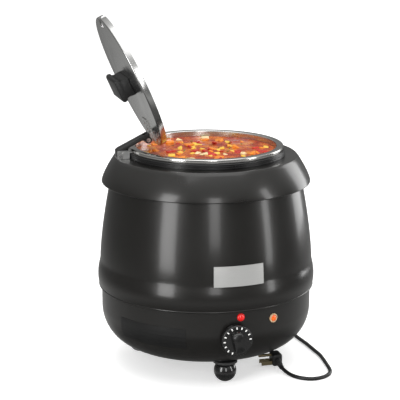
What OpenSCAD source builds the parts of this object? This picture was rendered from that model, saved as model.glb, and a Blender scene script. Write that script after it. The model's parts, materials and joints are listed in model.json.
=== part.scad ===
// Countertop soup kettle: a painted body on three ball feet, a lift-out insert pot that carries a
// hinged lid, and a turning thermostat knob. Origin on the floor at the kettle's axis,
// front (knob) towards -Y, lid hinge towards -X, +Z up. The lid is drawn open.

/* [Base] */
// Outer radius of the base where the upper shell meets it
base_r = 166; // [150:1:190]
// Height of the base's flat underside above the floor
base_bottom_z = 35; // [30:1:45]
// Height of the seam between base and upper shell
seam_z = 131.5; // [128:0.5:160]
// Radial width of the base's rounded lower corner
corner_w = 54; // [45:1:65]
// Height of the base's rounded lower corner
corner_h = 60; // [50:1:72]
// Sheet thickness of base, shell and collar
sheet_t = 1.4; // [1:0.1:1.8]

/* [Shell and collar] */
// Height of the shell between the seam and the collar's lip
shell_h = 163; // [150:0.5:196]
// How much narrower the shell is at its top than above its bulge
shell_taper = 17; // [13:1:21]
// How far the band at the bottom of the shell bulges out
bulge_out = 3.8; // [2:0.1:6]
// Height of the bulged band
bulge_h = 38; // [30:1:50]
// How far the collar's lip stands out from the top of the shell
lip_out = 12.8; // [10:0.2:16]
// Height of the collar between its lip and its flat top
collar_h = 40.6; // [34:0.2:50]
// How far the collar's side flares out from its flat top to its lip
collar_flare = 20; // [16:0.5:24]

/* [Pot and water pan] */
// Inner radius of the insert pot
pot_r = 110; // [92:1:111]
// Depth of the insert pot below its rim
pot_depth = 260; // [216:1:262]
// Sheet thickness of the pot
pot_t = 1.0; // [0.8:0.1:1.4]
// Width of the pot's rim outside its wall
rim_w = 10; // [8:0.1:12]
// Depth of the turned-down edge of the rim
rim_lip = 6.4; // [5:0.2:7.7]
// Height of the grooved ring that carries the rim
ring_h = 8.5; // [7:0.5:10]
// Radial gap between pot and water pan
pan_gap = 8; // [6:0.5:10]
// Water space under the pot
water_gap = 14; // [8:1:16]

/* [Lid] */
// Angle between the drawn open lid and the closed lid
lid_open = 114; // [90:1:116]
// Radial clearance between lid and pot wall
lid_gap = 1.5; // [1.2:0.1:3]
// Depth of the lid's skirt
skirt_h = 9.5; // [8:0.5:11]
// Sheet thickness of the lid
lid_t = 1.0; // [0.8:0.1:1.4]
// Width of the ladle notch
notch_w = 19; // [14:1:30]
// Depth of the ladle notch
notch_d = 16; // [10:1:22]
// Radius of the hinge pin
pin_r = 2; // [1.5:0.1:2.4]
// Width of the hinge arm
arm_w = 16.8; // [14:0.2:20]
// Thickness of the hinge arm
arm_t = 5.5; // [4.5:0.5:6.5]
// Length of the lid's handle
handle_l = 66; // [54:1:80]
// Width across the handle's flared top
handle_w = 44; // [40:1:56]
// Height of the handle
handle_h = 22; // [21:1:28]

/* [Controls] */
// Diameter of the thermostat knob
knob_d = 48; // [40:1:50]
// Height of the knob's axis above the floor
knob_z = 86.5; // [84:0.5:88]
// Radius of the thermostat shaft
shaft_r = 3; // [2.5:0.1:3.6]
// Diameter of the red lamp
red_d = 12; // [10:0.5:14]
// Diameter of the orange lamp's ring
orange_d = 14; // [11:0.5:17]
// Width of the name plate round the shell
plate_w = 78; // [50:1:100]
// Height of the name plate
plate_h = 31; // [20:1:37]

/* [Feet] */
// Diameter of a ball foot
ball_d = 35.3; // [33:0.1:42]
// Distance of the feet from the kettle's axis
foot_r = 112; // [93:1:114]
// Diameter of the washer above each foot
washer_d = 38; // [31:1:44]
// Thickness of the washer
washer_t = 4; // [3:0.5:5]

/* [Cord] */
// Diameter of the power cord
cord_d = 6; // [5:0.5:6]
// Diameter across the middle of the cord's coil
coil_d = 66; // [60:1:72]

/* [Hidden] */
$fn = 96;

black = [0.07, 0.07, 0.075];
paint = [0.13, 0.125, 0.12];
steel = [0.78, 0.78, 0.77];
dull = [0.45, 0.44, 0.43];

// Heights up the kettle
collar_z = seam_z + shell_h;
flat_z = collar_z + collar_h + sheet_t;
ring_z = flat_z + ring_h;
rim_z = ring_z + 0.2 + rim_lip;
pot_bottom_z = rim_z - pot_depth;
pan_t = 1.2;
pan_bottom_z = pot_bottom_z - water_gap - pan_t;
corner_z = base_bottom_z + corner_h;
floor_in_z = base_bottom_z + sheet_t;

// Radii
flat_r = base_r - corner_w;
shell_top_r = base_r + 2 - shell_taper;
lip_r = shell_top_r + lip_out;
collar_top_r = lip_r - collar_flare;
pot_out_r = pot_r + pot_t;
rim_r = pot_out_r + rim_w;
neck_in_r = pot_out_r + 0.6;
neck_out_r = rim_r + 2.4;
pan_r = pot_out_r + pan_gap;

// Outer radius of the base and of the shell at height z, and of the collar down its side
function base_at(z) = z >= corner_z ? base_r
  : flat_r + corner_w * sqrt(max(0, 1 - pow((corner_z - z) / corner_h, 2)));
function bulge_at(b) = b >= 1 ? 0 : bulge_out * pow(sin(180 * (0.2 + 0.8 * b)), 0.9);
function shell_at(z) = base_r + 2 + bulge_at((z - seam_z) / bulge_h)
  - shell_taper * pow(max(0, (z - seam_z - bulge_h) / (shell_h - bulge_h)), 1.5);
function collar_at(s) = collar_top_r + collar_flare * (1 - pow(1 - s, 1.3));
function back(list) = [for (i = [len(list) - 1 : -1 : 0]) list[i]];

// Sheet between an outer and an inner list of [r, z] points
module turned(outer, inner) { rotate_extrude($fn = 120) polygon(concat(outer, back(inner))); }
// Turns children, drawn facing -Y, round the kettle towards +X
module around(a) { rotate([0, 0, a]) children(); }
// Round rod between two points
module rod(p, q, r, r2) {
  d = q - p;
  translate(p) rotate([0, acos(d[2] / norm(d)), atan2(d[1], d[0])])
    cylinder(r1 = r, r2 = r2 == undef ? r : r2, h = norm(d), $fn = 48);
}
// Cylinder that points outwards (-Y) from radius r0 to radius r1 at height z
module outward(r0, r1, z, r) { translate([0, -r0, z]) rotate([90, 0, 0]) cylinder(r = r, h = r1 - r0); }
// Rectangle with round corners, without hull
module round_rect(w, l, c) {
  square([w - 2 * c, l], center = true);
  square([w, l - 2 * c], center = true);
  for (x = [-1, 1], y = [-1, 1]) translate([x * (w / 2 - c), y * (l / 2 - c)]) circle(r = c, $fn = 48);
}

// ---- feet ----
foot_as = [0, 120, 240];
bolt_r = 3;
module at_feet() { for (a = foot_as) around(a) translate([0, -foot_r, 0]) children(); }

module ball_feet() {
  color(black) at_feet() difference() {
    translate([0, 0, ball_d / 2 - 0.25]) sphere(d = ball_d);
    translate([-ball_d, -ball_d, -ball_d]) cube([2 * ball_d, 2 * ball_d, ball_d]);
    translate([-ball_d, -ball_d, base_bottom_z - washer_t]) cube(2 * ball_d);
    translate([0, 0, 12]) cylinder(r = bolt_r, h = 60);
  }
}

module foot_washers() {
  color(black) at_feet() translate([0, 0, base_bottom_z - washer_t]) difference() {
    cylinder(d = washer_d, h = washer_t);
    translate([0, 0, -1]) cylinder(r = bolt_r, h = washer_t + 2);
  }
}

// Bolts that hold the feet, with their nuts inside the base
module foot_bolts() {
  color(steel) at_feet() {
    translate([0, 0, 12]) cylinder(r = bolt_r, h = floor_in_z + 8 - 12);
    translate([0, 0, floor_in_z + 0.4]) cylinder(d = 11.5, h = 5, $fn = 6);
  }
}

// ---- base ----
red_a = 2.9;
red_z = knob_z + knob_d / 2 + red_d / 2 + 3;
orange_a = 22.4;
orange_z = knob_z + 23.5;
gland_z = 75;
gland_r = 6.9;
bush_r = 4.6;
screw_dx = 11;
knob_wall = base_at(knob_z);

module base_bowl() {
  n = 14;
  outer = concat([[0, base_bottom_z]], [for (i = [0 : n]) let (a = 90 * i / n)
    [flat_r + corner_w * sin(a), corner_z - corner_h * cos(a)]], [[base_r, seam_z - 0.2]]);
  inner = concat([[0, floor_in_z]], [for (i = [0 : n]) let (a = 90 * i / n)
    [flat_r + (corner_w - sheet_t) * sin(a), corner_z - (corner_h - sheet_t) * cos(a)]],
    [[base_r - sheet_t, seam_z - 0.2]]);
  color(paint) difference() {
    turned(outer, inner);
    outward(base_r - 20, base_r + 9, knob_z, bush_r + 0.1);
    for (s = [-1, 1]) translate([s * screw_dx, 0, 0]) outward(base_r - 20, base_r + 9, knob_z, 1.6);
    around(red_a) outward(base_r - 9, base_r + 9, red_z, red_d / 2 - 2);
    around(orange_a) outward(base_r - 9, base_r + 9, orange_z, orange_d / 2 - 2);
    around(180) outward(base_r - 20, base_r + 9, gland_z, gland_r + 0.1);
    at_feet() translate([0, 0, base_bottom_z - 1]) cylinder(r = bolt_r, h = 6);
    for (i = [0 : 11]) around(30 * i + 15) translate([0, -40, base_bottom_z - 1]) cylinder(r = 4, h = 6);
  }
}

// ---- shell, collar and neck ring ----
edge_r = shell_at(seam_z) + 0.4;
module upper_shell() {
  z1 = seam_z + bulge_h;
  zs = concat([for (i = [0 : 12]) seam_z + bulge_h * i / 12], [for (i = [1 : 10]) z1 + (collar_z - z1) * i / 10]);
  color(paint) {
    turned([for (z = zs) [shell_at(z), z]], [for (z = zs) [shell_at(z) - sheet_t, z]]);
    // rolled lower edge that laps the base
    rotate_extrude($fn = 120) polygon([[base_r + 0.1, seam_z - 3.4], [base_r + 2, seam_z - 3.4],
      [edge_r, seam_z - 2], [edge_r, seam_z - 0.2], [edge_r - 0.9, seam_z + 1],
      [base_r + 0.1, seam_z + 1]]);
  }
}

module collar() {
  n = 12;
  t = sheet_t;
  hole_r = neck_in_r + 1;
  side_h = collar_h - 1.8;
  outer = concat([[hole_r, flat_z], [collar_top_r - 3, flat_z], [collar_top_r - 1.3, flat_z - 0.4]],
    [for (i = [0 : n]) [collar_at(i / n), flat_z - t - side_h * i / n]],
    [[lip_r - 0.3, collar_z + 0.9], [lip_r - 1.5, collar_z + 0.1]]);
  inner = concat([[hole_r, flat_z - t], [collar_top_r - 3.8, flat_z - t]],
    [for (i = [1 : n]) [collar_at(i / n) - t, flat_z - t - side_h * i / n]],
    [[lip_r - 2.4, collar_z + 0.1 + t], [shell_top_r - t, collar_z + 0.1 + t],
    [shell_top_r - t, collar_z + 0.1]]);
  color(paint) turned(outer, inner);
}

module neck_ring() {
  g = ring_h / 7;
  color(black) rotate_extrude($fn = 120) polygon(concat([[neck_in_r, flat_z], [neck_out_r, flat_z]],
    [for (z = [1, 3.8]) each [[neck_out_r, flat_z + z * g], [neck_out_r - 1.6, flat_z + (z + 0.4) * g],
      [neck_out_r - 1.6, flat_z + (z + 1.2) * g], [neck_out_r, flat_z + (z + 1.6) * g]]],
    [[neck_out_r, ring_z], [neck_in_r, ring_z]]));
}

// ---- water pan and heating ----
module water_pan() {
  c = 12;
  z1 = flat_z - sheet_t;
  outer = concat([[0, pan_bottom_z]], [for (a = [0 : 18 : 90])
    [pan_r + pan_t - c + c * sin(a), pan_bottom_z + c - c * cos(a)]],
    [[pan_r + pan_t, z1 - pan_t], [pan_r + 14, z1 - pan_t], [pan_r + 14, z1]]);
  inner = concat([[0, pan_bottom_z + pan_t]], [for (a = [0 : 18 : 90])
    [pan_r + pan_t - c + (c - pan_t) * sin(a), pan_bottom_z + c - (c - pan_t) * cos(a)]], [[pan_r, z1]]);
  color(steel) {
    turned(outer, inner);
    // stud for the element clamp
    translate([0, 0, pan_bottom_z - 16]) cylinder(r = 3, h = 16);
  }
}

elem_r = 62;
elem_t = 4;
elem_z = pan_bottom_z - elem_t - 0.1;
clamp_z = elem_z - elem_t - 0.1;
module heating_element() {
  color(dull) {
    translate([0, 0, elem_z]) rotate([0, 0, 200]) rotate_extrude(angle = 320)
      translate([elem_r, 0]) circle(r = elem_t, $fn = 32);
    for (a = [160, 200]) rotate([0, 0, a]) translate([elem_r, 0, elem_z - 15]) cylinder(r = 2.4, h = 15);
  }
}

module element_clamp() {
  color(steel) translate([0, 0, clamp_z - 1.5]) linear_extrude(1.5) difference() {
    for (a = [45, 135]) rotate(a) square([2 * elem_r + 12, 16], center = true);
    circle(r = 3);
  }
}

module clamp_nut() {
  color(steel) translate([0, 0, clamp_z - 6.5]) difference() {
    cylinder(d = 11.5, h = 5, $fn = 6);
    translate([0, 0, -1]) cylinder(r = 3, h = 8);
  }
}

// ---- thermostat, terminals and lamps ----
therm_w = 30;
therm_d = 22;
therm_y = sqrt(pow(base_at(knob_z - therm_w / 2) - sheet_t - 0.8, 2) - pow(therm_w / 2, 2));
module thermostat() {
  color(dull) difference() {
    union() {
      translate([-therm_w / 2, -therm_y, knob_z - therm_w / 2]) cube([therm_w, therm_d, therm_w]);
      outward(therm_y - 1, knob_wall + 1.5, knob_z, bush_r);
    }
    outward(therm_y - 12, knob_wall + 5, knob_z, shaft_r + 0.05);
    for (s = [-1, 1]) translate([s * screw_dx, 0, 0]) outward(therm_y - 8, knob_wall, knob_z, 1.5);
  }
}

module thermostat_screws() {
  color(steel) for (s = [-1, 1]) translate([s * screw_dx, 0, 0]) {
    outward(therm_y - 8, knob_wall, knob_z, 1.5);
    outward(knob_wall, knob_wall + 1.8, knob_z, 2.8);
  }
}

// Sensing bulb under the pan with its capillary tube to the thermostat
module thermostat_bulb() {
  z = pan_bottom_z - 3.1;
  low = clamp_z - 5;
  y = -30;
  ty = -therm_y + therm_d;
  pts = [[10, y, z], [14, y, z], [14, y, low], [8, ty + 3, low], [8, ty + 3, knob_z], [8, ty, knob_z]];
  color([0.72, 0.45, 0.3]) {
    rod([-22, y, z], pts[0], 3);
    for (i = [0 : 4]) rod(pts[i], pts[i + 1] + 0.7 * unit(pts[i + 1] - pts[i]) * (i < 4 ? 1 : 0), 1 + 0.1 * (i % 2));
  }
}

module terminal_block() {
  color([0.85, 0.84, 0.8]) translate([0, 78, floor_in_z]) difference() {
    translate([-24, -9, 0]) cube([48, 18, 15]);
    for (x = [-16, -5.3, 5.3, 16]) translate([x, 0, 4]) cylinder(r = 2.5, h = 20);
  }
}

// A domed lens, its flange r wide, seated on the base from the outside
module lens(r, stem_r, z, dome) {
  translate([0, -base_r - 0.05, z]) rotate([90, 0, 0]) {
    translate([0, 0, -6]) cylinder(r = stem_r, h = 7);
    rotate_extrude() polygon(concat([[0, 0], [r, 0], [r, 0.8]],
      [for (a = [15 : 15 : 90]) [r * cos(a), 0.8 + dome * sin(a)]]));
  }
}

module red_lamp() { color([0.9, 0.05, 0.04]) around(red_a) lens(red_d / 2, red_d / 2 - 2.1, red_z, 3.6); }
module red_lamp_holder() {
  color(black) around(red_a) outward(base_r - 26, base_r - 6.2, red_z, red_d / 2 - 0.5);
}
module orange_lamp() {
  color([1, 0.4, 0.05]) around(orange_a) lens(orange_d / 2 - 2.2, orange_d / 2 - 2.3, orange_z, 3.4);
}
module orange_lamp_ring() {
  color([0.9, 0.85, 0.78]) around(orange_a) difference() {
    outward(base_r + 0.05, base_r + 2.2, orange_z, orange_d / 2);
    outward(base_r - 1, base_r + 4, orange_z, orange_d / 2 - 2.1);
  }
}
module orange_lamp_holder() {
  color(black) around(orange_a) outward(base_r - 26, base_r - 6.2, orange_z, orange_d / 2 - 1);
}

// ---- plates ----
plate_a = 1.9;
plate_z = seam_z + bulge_h + plate_h / 2 - 0.5;
module name_plate() {
  w = plate_w / shell_at(plate_z) * 180 / PI;
  zs = [for (i = [0 : 4]) plate_z - plate_h / 2 + plate_h * i / 4];
  color([0.8, 0.8, 0.8]) rotate([0, 0, -90 + plate_a - w / 2]) rotate_extrude(angle = w, $fn = 120)
    polygon(concat([for (z = zs) [shell_at(z) + 1.2, z]], back([for (z = zs) [shell_at(z) + 0.1, z]])));
}

label_a = -46.5;
label_w = 41;
module info_label() {
  zs = [for (i = [0 : 5]) knob_z - 16.5 + 32 * i / 5];
  color([0.05, 0.05, 0.05]) rotate([0, 0, -90 + label_a - label_w / 2]) rotate_extrude(angle = label_w, $fn = 120)
    polygon(concat([for (z = zs) [base_at(z) + 0.5, z]], back([for (z = zs) [base_at(z) + 0.1, z]])));
}

// ---- cord ----
cord_r = cord_d / 2;
knob_front = knob_wall + 23.5;
gland_wall = base_at(gland_z + 11) + 0.1;
module cord_gland() {
  color(black) around(180) {
    outward(base_at(gland_z) - 14, gland_wall, gland_z, gland_r);
    outward(gland_wall, gland_wall + 3, gland_z, 11);
    translate([0, -gland_wall - 3, gland_z]) rotate([90, 0, 0])
      cylinder(r1 = 7, r2 = cord_r + 1.2, h = knob_front - gland_wall - 3);
  }
}

// Points of the two free stretches of cord: gland to coil, and coil to plug
coil_c = [70, 225];
lead_pts = [[0, 202, 73], [2, 217, 65], [5, 229, 51], [9, 239, 35], [16, 248, 19], [28, 256, 8],
  [43, 260, 3], [55, 261, 3]];
tail_pts = [[85, 261, 9], [99, 259, 6], [114, 254, 4], [128, 245, 3], [140, 233, 3], [149, 219, 3],
  [156, 203, 3], [161, 186, 3], [164, 168, 3], [166, 150, 3], [167, 132, 3], [168, 114, 3], [168, 96, 3],
  [169, 78, 3], [170, 60, 3], [171, 42, 3], [173, 24, 3], [175, 6, 3], [176, -12, 3], [177, -30, 3],
  [178, -48, 3], [177, -66, 3], [175, -84, 3], [173, -100, 3], [171, -114, 3], [167, -128, 3],
  [158, -140, 3], [146, -147, 3], [132, -149, 3], [119, -144, 3], [109, -134, 3], [103, -121, 3],
  [100, -108, 3.6], [98, -96, 5]];

// Closed tube of radius r and n sides through the points
function unit(v) = v / norm(v);
function along(p, i) = unit(p[min(i + 1, len(p) - 1)] - p[max(i - 1, 0)]);
module tube(p, r, n = 8) {
  m = len(p);
  rings = [for (i = [0 : m - 1]) let (t = along(p, i), u = unit(cross(t, [0, 0, 1])), v = cross(u, t))
    for (k = [0 : n - 1]) let (q = p[i] + r * (cos(360 * k / n + 22.5) * u + sin(360 * k / n + 22.5) * v))
      [q[0], q[1], max(0, q[2])]];
  sides = [for (i = [0 : m - 2], k = [0 : n - 1]) let (a = i * n + k, b = i * n + (k + 1) % n)
    each [[a, b, b + n], [a, b + n, a + n]]];
  polyhedron(rings, concat(sides, [[for (k = [n - 1 : -1 : 0]) k]], [[for (k = [0 : n - 1]) (m - 1) * n + k]]));
}

module cord_lead() { color(black) tube(concat([[0, knob_front, gland_z]], lead_pts), cord_r); }
module cord_tail() { color(black) tube(tail_pts, cord_r); }
// Outer shape of four turns, two wide and two high
module cord_coil() {
  color(black) translate([coil_c[0], coil_c[1], 0]) rotate_extrude()
    translate([coil_d / 2 - cord_d, 0]) square([2 * cord_d, 2 * cord_d]);
}

// Plug on the floor, drawn standing on its cord end and laid down; the cord leaves it at a right
// angle to the blades
plug_at = [98, -76, 10];
plug_w = 20;
plug_d = 16;
plug_h = 23;
module in_plug() { translate(plug_at) rotate([-90, 0, 0]) rotate([0, 0, -90]) children(); }
// The relief runs into the plug's back face and is cut flush with it
module plug_relief() {
  from = [98, -96, 5];
  color(black) difference() {
    rod(from, plug_at + 0.15 * (plug_at - from), cord_r + 0.8, 5.2);
    translate([plug_at[0] - 20, plug_at[1], plug_at[2] - 20]) cube([40, 20, 40]);
  }
}
module plug_body() { color(black) in_plug() linear_extrude(plug_h) round_rect(plug_w, plug_d, 4); }
module plug_blades() {
  color([0.85, 0.75, 0.5]) in_plug() for (s = [-1, 1])
    translate([-plug_w / 2 + 2, -plug_d / 2 - 17.5, plug_h / 2 + s * 6.35 - 0.75]) cube([6.3, 17.5, 1.5]);
}
module plug_ground_pin() {
  color([0.85, 0.75, 0.5]) in_plug() translate([plug_w / 2 - 3.5, -plug_d / 2, plug_h / 2])
    rotate([90, 0, 0]) cylinder(r = 2.4, h = 20.5);
}

// ---- insert pot with the hinge's fixed half ----
module insert_pot() {
  c = 14;
  t = pot_t;
  outer = concat([[0, pot_bottom_z]], [for (a = [0 : 15 : 90])
    [pot_out_r - c + c * sin(a), pot_bottom_z + c - c * cos(a)]],
    [[pot_out_r, rim_z - 1.3], [rim_r - 1.3, rim_z - 1.3], [rim_r - 1.3, rim_z - rim_lip],
    [rim_r, rim_z - rim_lip], [rim_r, rim_z - 1], [rim_r - 0.3, rim_z - 0.3], [rim_r - 1, rim_z]]);
  inner = concat([[0, pot_bottom_z + t]], [for (a = [0 : 15 : 90])
    [pot_out_r - c + (c - t) * sin(a), pot_bottom_z + c - (c - t) * cos(a)]],
    [[pot_r, rim_z - 1], [pot_r + 0.3, rim_z - 0.3], [pot_r + 1, rim_z]]);
  color(steel) turned(outer, inner);
}

// Hinge geometry in the X-Z plane
lid_r = pot_r - lid_gap;
lid_z = rim_z - 6.6;
lid_top = lid_z + skirt_h;
pivot_in = 14.5;
pivot_x = -lid_r + pivot_in;
pivot_z = lid_top + 9.5;
brk_x0 = -collar_top_r + 0.4;
brk_x1 = -neck_out_r - 1;
brk_z = flat_z + 0.3;
brk_t = 1.5;
brk_h = 13;
knuckle_w = 10;
module slab(y0, y1) { translate([0, y1, 0]) rotate([90, 0, 0]) linear_extrude(y1 - y0) children(); }

// Folded steel bracket joined to the pot's rim, standing over the collar's flat
module hinge_bracket() {
  y = arm_w / 2 + 0.1 + brk_t;
  tab_z = rim_z - rim_lip + 0.8;
  color(steel) difference() {
    union() {
      slab(-y, y) polygon([[brk_x0, brk_z], [brk_x1, brk_z], [brk_x1, tab_z], [-rim_r + 3, tab_z],
        [-rim_r + 3, tab_z + brk_t], [brk_x1 - brk_t, tab_z + brk_t], [brk_x1 - brk_t, brk_z + brk_t],
        [brk_x0, brk_z + brk_t]]);
      for (s = [-1, 1]) translate([brk_x0, s * (y - brk_t / 2) - brk_t / 2, brk_z])
        cube([brk_x1 - brk_t - brk_x0, brk_t, brk_h]);
    }
    translate([0, 0, tab_z - 5]) cylinder(r = rim_r, h = 20);
    translate([(brk_x0 + brk_x1) / 2, 30, brk_z + 7.5]) rotate([90, 0, 0]) cylinder(r = 1.6, h = 60, $fn = 32);
  }
}

arm_a = [brk_x0 + 3, brk_z + brk_t + 14];
arm_b = [pivot_x + 0.4, pivot_z + 11];
arm_u = (arm_b - arm_a) / norm(arm_b - arm_a);
arm_n = [arm_u[1], -arm_u[0]];
module hinge_arm() {
  low = arm_n * arm_t;
  block_x = brk_x1 - brk_t - 0.2;
  block_top = arm_a[1] + low[1] + (block_x - arm_a[0] - low[0]) * arm_u[1] / arm_u[0];
  color(black) difference() {
    union() {
      slab(-arm_w / 2, arm_w / 2) polygon([[brk_x0 + 0.5, brk_z + brk_t], [brk_x0 + 0.5, arm_a[1] - 2.4],
        arm_a, arm_b, arm_b + [1.5, -1.6], [pivot_x + 3, pivot_z], [pivot_x - 3, pivot_z],
        arm_b - 15 * arm_u + low, [block_x, block_top], [block_x, brk_z + brk_t]]);
      translate([pivot_x, arm_w / 2, pivot_z]) rotate([90, 0, 0]) cylinder(r = 5.5, h = arm_w);
    }
    translate([pivot_x - 7, -knuckle_w / 2 - 0.3, pivot_z - 20]) cube([30, knuckle_w + 0.6, 50]);
    translate([pivot_x, 30, pivot_z]) rotate([90, 0, 0]) cylinder(r = pin_r, h = 60);
    translate([(brk_x0 + brk_x1) / 2, 30, brk_z + 7.5]) rotate([90, 0, 0]) cylinder(r = 1.6, h = 60, $fn = 32);
  }
}

module hinge_screws() {
  y = arm_w / 2 + 0.1 + brk_t;
  color(steel) for (s = [-1, 1]) translate([(brk_x0 + brk_x1) / 2, s * y, brk_z + 7.5]) rotate([-90 * s, 0, 0]) {
    translate([0, 0, -6]) cylinder(r = 1.6, h = 6, $fn = 32);
    cylinder(r = 2.8, h = 1.5, $fn = 32);
  }
}

module hinge_pin() {
  color(steel) translate([pivot_x, 0, pivot_z]) rotate([90, 0, 0]) {
    cylinder(r = pin_r, h = arm_w, center = true);
    for (s = [-1, 1]) translate([0, 0, s * (arm_w / 2 + 0.6)]) cylinder(r = pin_r + 1.3, h = 1.2, center = true);
  }
}

// ---- lid, drawn closed and then turned open about the hinge pin ----
module opened() {
  translate([pivot_x, 0, pivot_z]) rotate([0, -lid_open, 0]) translate([-pivot_x, 0, -pivot_z]) children();
}
crown = 1.5;
rivet_x = [-70, -80];
handle_dy = 18;

module lid_shell() {
  t = lid_t;
  outer = [[lid_r, lid_z], [lid_r, lid_top - 1.6], [lid_r - 0.6, lid_top - 0.5], [lid_r - 1.8, lid_top],
    [60, lid_top], [44, lid_top + crown], [0, lid_top + crown]];
  inner = [[lid_r - t, lid_z], [lid_r - t, lid_top - 2], [lid_r - t - 1.2, lid_top - t],
    [60, lid_top - t], [44, lid_top + crown - t], [0, lid_top + crown - t]];
  color(steel) opened() difference() {
    turned(outer, inner);
    translate([lid_r - notch_d, -notch_w / 2, lid_z - 10]) cube([notch_d + 10, notch_w, 40]);
    for (x = rivet_x, s = [-1, 1]) translate([x, s * 9, lid_z]) cylinder(r = 1.5, h = 30, $fn = 32);
    for (s = [-1, 1]) translate([0, s * handle_dy, lid_z]) cylinder(r = 2, h = 30, $fn = 32);
  }
}

module lid_hinge_leaf() {
  color(steel) opened() difference() {
    union() {
      translate([pivot_x - 5, -13, lid_top]) cube([-pivot_x + 5 - 62, 26, 1.5]);
      slab(-knuckle_w / 2, knuckle_w / 2) {
        translate([pivot_x, pivot_z]) circle(r = 5);
        polygon([[pivot_x - 5, lid_top + 1], [pivot_x + 9, lid_top + 1], [pivot_x + 9, lid_top + 2.5],
          [pivot_x + 5, pivot_z], [pivot_x - 5, pivot_z]]);
      }
    }
    translate([pivot_x, 30, pivot_z]) rotate([90, 0, 0]) cylinder(r = pin_r + 0.05, h = 60);
    for (x = rivet_x, s = [-1, 1]) translate([x, s * 9, lid_z]) cylinder(r = 1.5, h = 30, $fn = 32);
  }
}

module leaf_rivets() {
  color(steel) opened() for (x = rivet_x, s = [-1, 1]) translate([x, s * 9, lid_top]) {
    translate([0, 0, -lid_t]) cylinder(r = 1.5, h = lid_t + 1.5, $fn = 32);
    translate([0, 0, 1.5]) cylinder(r1 = 3, r2 = 2, h = 1.2, $fn = 32);
    translate([0, 0, -lid_t - 0.8]) cylinder(r = 2.6, h = 0.8, $fn = 32);
  }
}

module lid_handle() {
  hw = handle_w / 2;
  z0 = lid_top + crown;
  color(black) opened() difference() {
    intersection() {
      slab(-handle_l / 2, handle_l / 2) translate([0, z0]) polygon([[-17, 0], [-15.5, 9], [-17, 13],
        [-hw + 1, handle_h - 8], [-hw, handle_h - 6], [-hw, handle_h - 2.5], [-hw + 3, handle_h],
        [hw - 3, handle_h], [hw, handle_h - 2.5], [hw, handle_h - 6], [hw - 1, handle_h - 8],
        [17, 13], [15.5, 9], [17, 0]]);
      translate([0, 0, z0 - 1]) linear_extrude(handle_h + 2) round_rect(handle_w, handle_l, 12);
    }
    for (s = [-1, 1]) translate([0, s * handle_dy, z0 - 1]) cylinder(r = 2, h = 13, $fn = 32);
  }
}

module handle_screws() {
  z0 = lid_top + crown;
  color(steel) opened() for (s = [-1, 1]) translate([0, s * handle_dy, 0]) {
    translate([0, 0, z0 - lid_t]) cylinder(r = 2, h = 12 + lid_t, $fn = 32);
    translate([0, 0, z0 - lid_t - 1.8]) cylinder(r = 3.4, h = 1.8, $fn = 32);
  }
}

// ---- knob ----
knob_back = knob_wall + 2.5;
skirt_d = 10;
module knob_shaft() { color(steel) outward(therm_y - 11, knob_back + 10, knob_z, shaft_r); }
module knob() {
  r = knob_d / 2;
  color(black) translate([0, -knob_back, knob_z]) rotate([90, 0, 0]) difference() {
    union() {
      rotate_extrude() polygon([[0, 0], [r, 0], [r, skirt_d - 1.5], [r - 1.5, skirt_d], [0, skirt_d]]);
      // raised finger grip across the face
      rotate(12) translate([0, -1, skirt_d - 0.1]) linear_extrude(knob_front - knob_back - skirt_d + 0.1)
        intersection() {
          square([0.32 * knob_d, knob_d], center = true);
          circle(r = 0.36 * knob_d);
        }
    }
    translate([0, 0, -1]) cylinder(r = shaft_r, h = 11);
  }
}
// White scale marks round the knob's face
module knob_marks() {
  color([0.95, 0.95, 0.95]) translate([0, -knob_back - skirt_d, knob_z]) rotate([90, 0, 0])
    for (i = [0 : 11]) rotate(157 - 22 * i) translate([-0.9, 0.385 * knob_d, 0]) cube([1.8, 3.4, 0.3]);
}

base_bowl();
upper_shell();
collar();
neck_ring();
water_pan();
heating_element();
element_clamp();
clamp_nut();
thermostat();
thermostat_screws();
thermostat_bulb();
terminal_block();
red_lamp();
red_lamp_holder();
orange_lamp();
orange_lamp_ring();
orange_lamp_holder();
ball_feet();
foot_washers();
foot_bolts();
name_plate();
info_label();
cord_gland();
cord_lead();
cord_coil();
cord_tail();
plug_relief();
plug_body();
plug_blades();
plug_ground_pin();
insert_pot();
hinge_bracket();
hinge_arm();
hinge_screws();
hinge_pin();
lid_shell();
lid_hinge_leaf();
leaf_rivets();
lid_handle();
handle_screws();
knob();
knob_marks();
knob_shaft();
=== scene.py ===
"""The looks of the countertop soup kettle: painted body, steel pot and lid, soup, knob, lamps and cord.
Outlines are in millimetres, as in the CAD, and MM turns them into metres."""
import json
import math
import random

import bpy
from mathutils import Matrix, Vector, noise


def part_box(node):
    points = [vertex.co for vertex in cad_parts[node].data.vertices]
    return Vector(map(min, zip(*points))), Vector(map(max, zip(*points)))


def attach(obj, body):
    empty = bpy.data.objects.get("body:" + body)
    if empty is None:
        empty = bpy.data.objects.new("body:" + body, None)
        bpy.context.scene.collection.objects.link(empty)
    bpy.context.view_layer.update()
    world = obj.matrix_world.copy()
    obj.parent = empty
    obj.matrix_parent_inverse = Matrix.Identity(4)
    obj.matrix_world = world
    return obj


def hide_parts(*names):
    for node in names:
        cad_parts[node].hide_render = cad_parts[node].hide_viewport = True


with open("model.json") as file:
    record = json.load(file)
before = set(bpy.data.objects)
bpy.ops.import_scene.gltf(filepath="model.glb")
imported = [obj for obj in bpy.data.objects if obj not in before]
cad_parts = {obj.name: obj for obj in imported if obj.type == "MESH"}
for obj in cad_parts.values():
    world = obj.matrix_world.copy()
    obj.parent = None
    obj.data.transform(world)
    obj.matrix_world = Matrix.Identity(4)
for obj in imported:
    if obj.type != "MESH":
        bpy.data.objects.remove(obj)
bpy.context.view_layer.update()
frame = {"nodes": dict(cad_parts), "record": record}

MM = 0.001


def lowest(node):
    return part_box(node)[0] / MM


def highest(node):
    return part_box(node)[1] / MM


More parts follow.
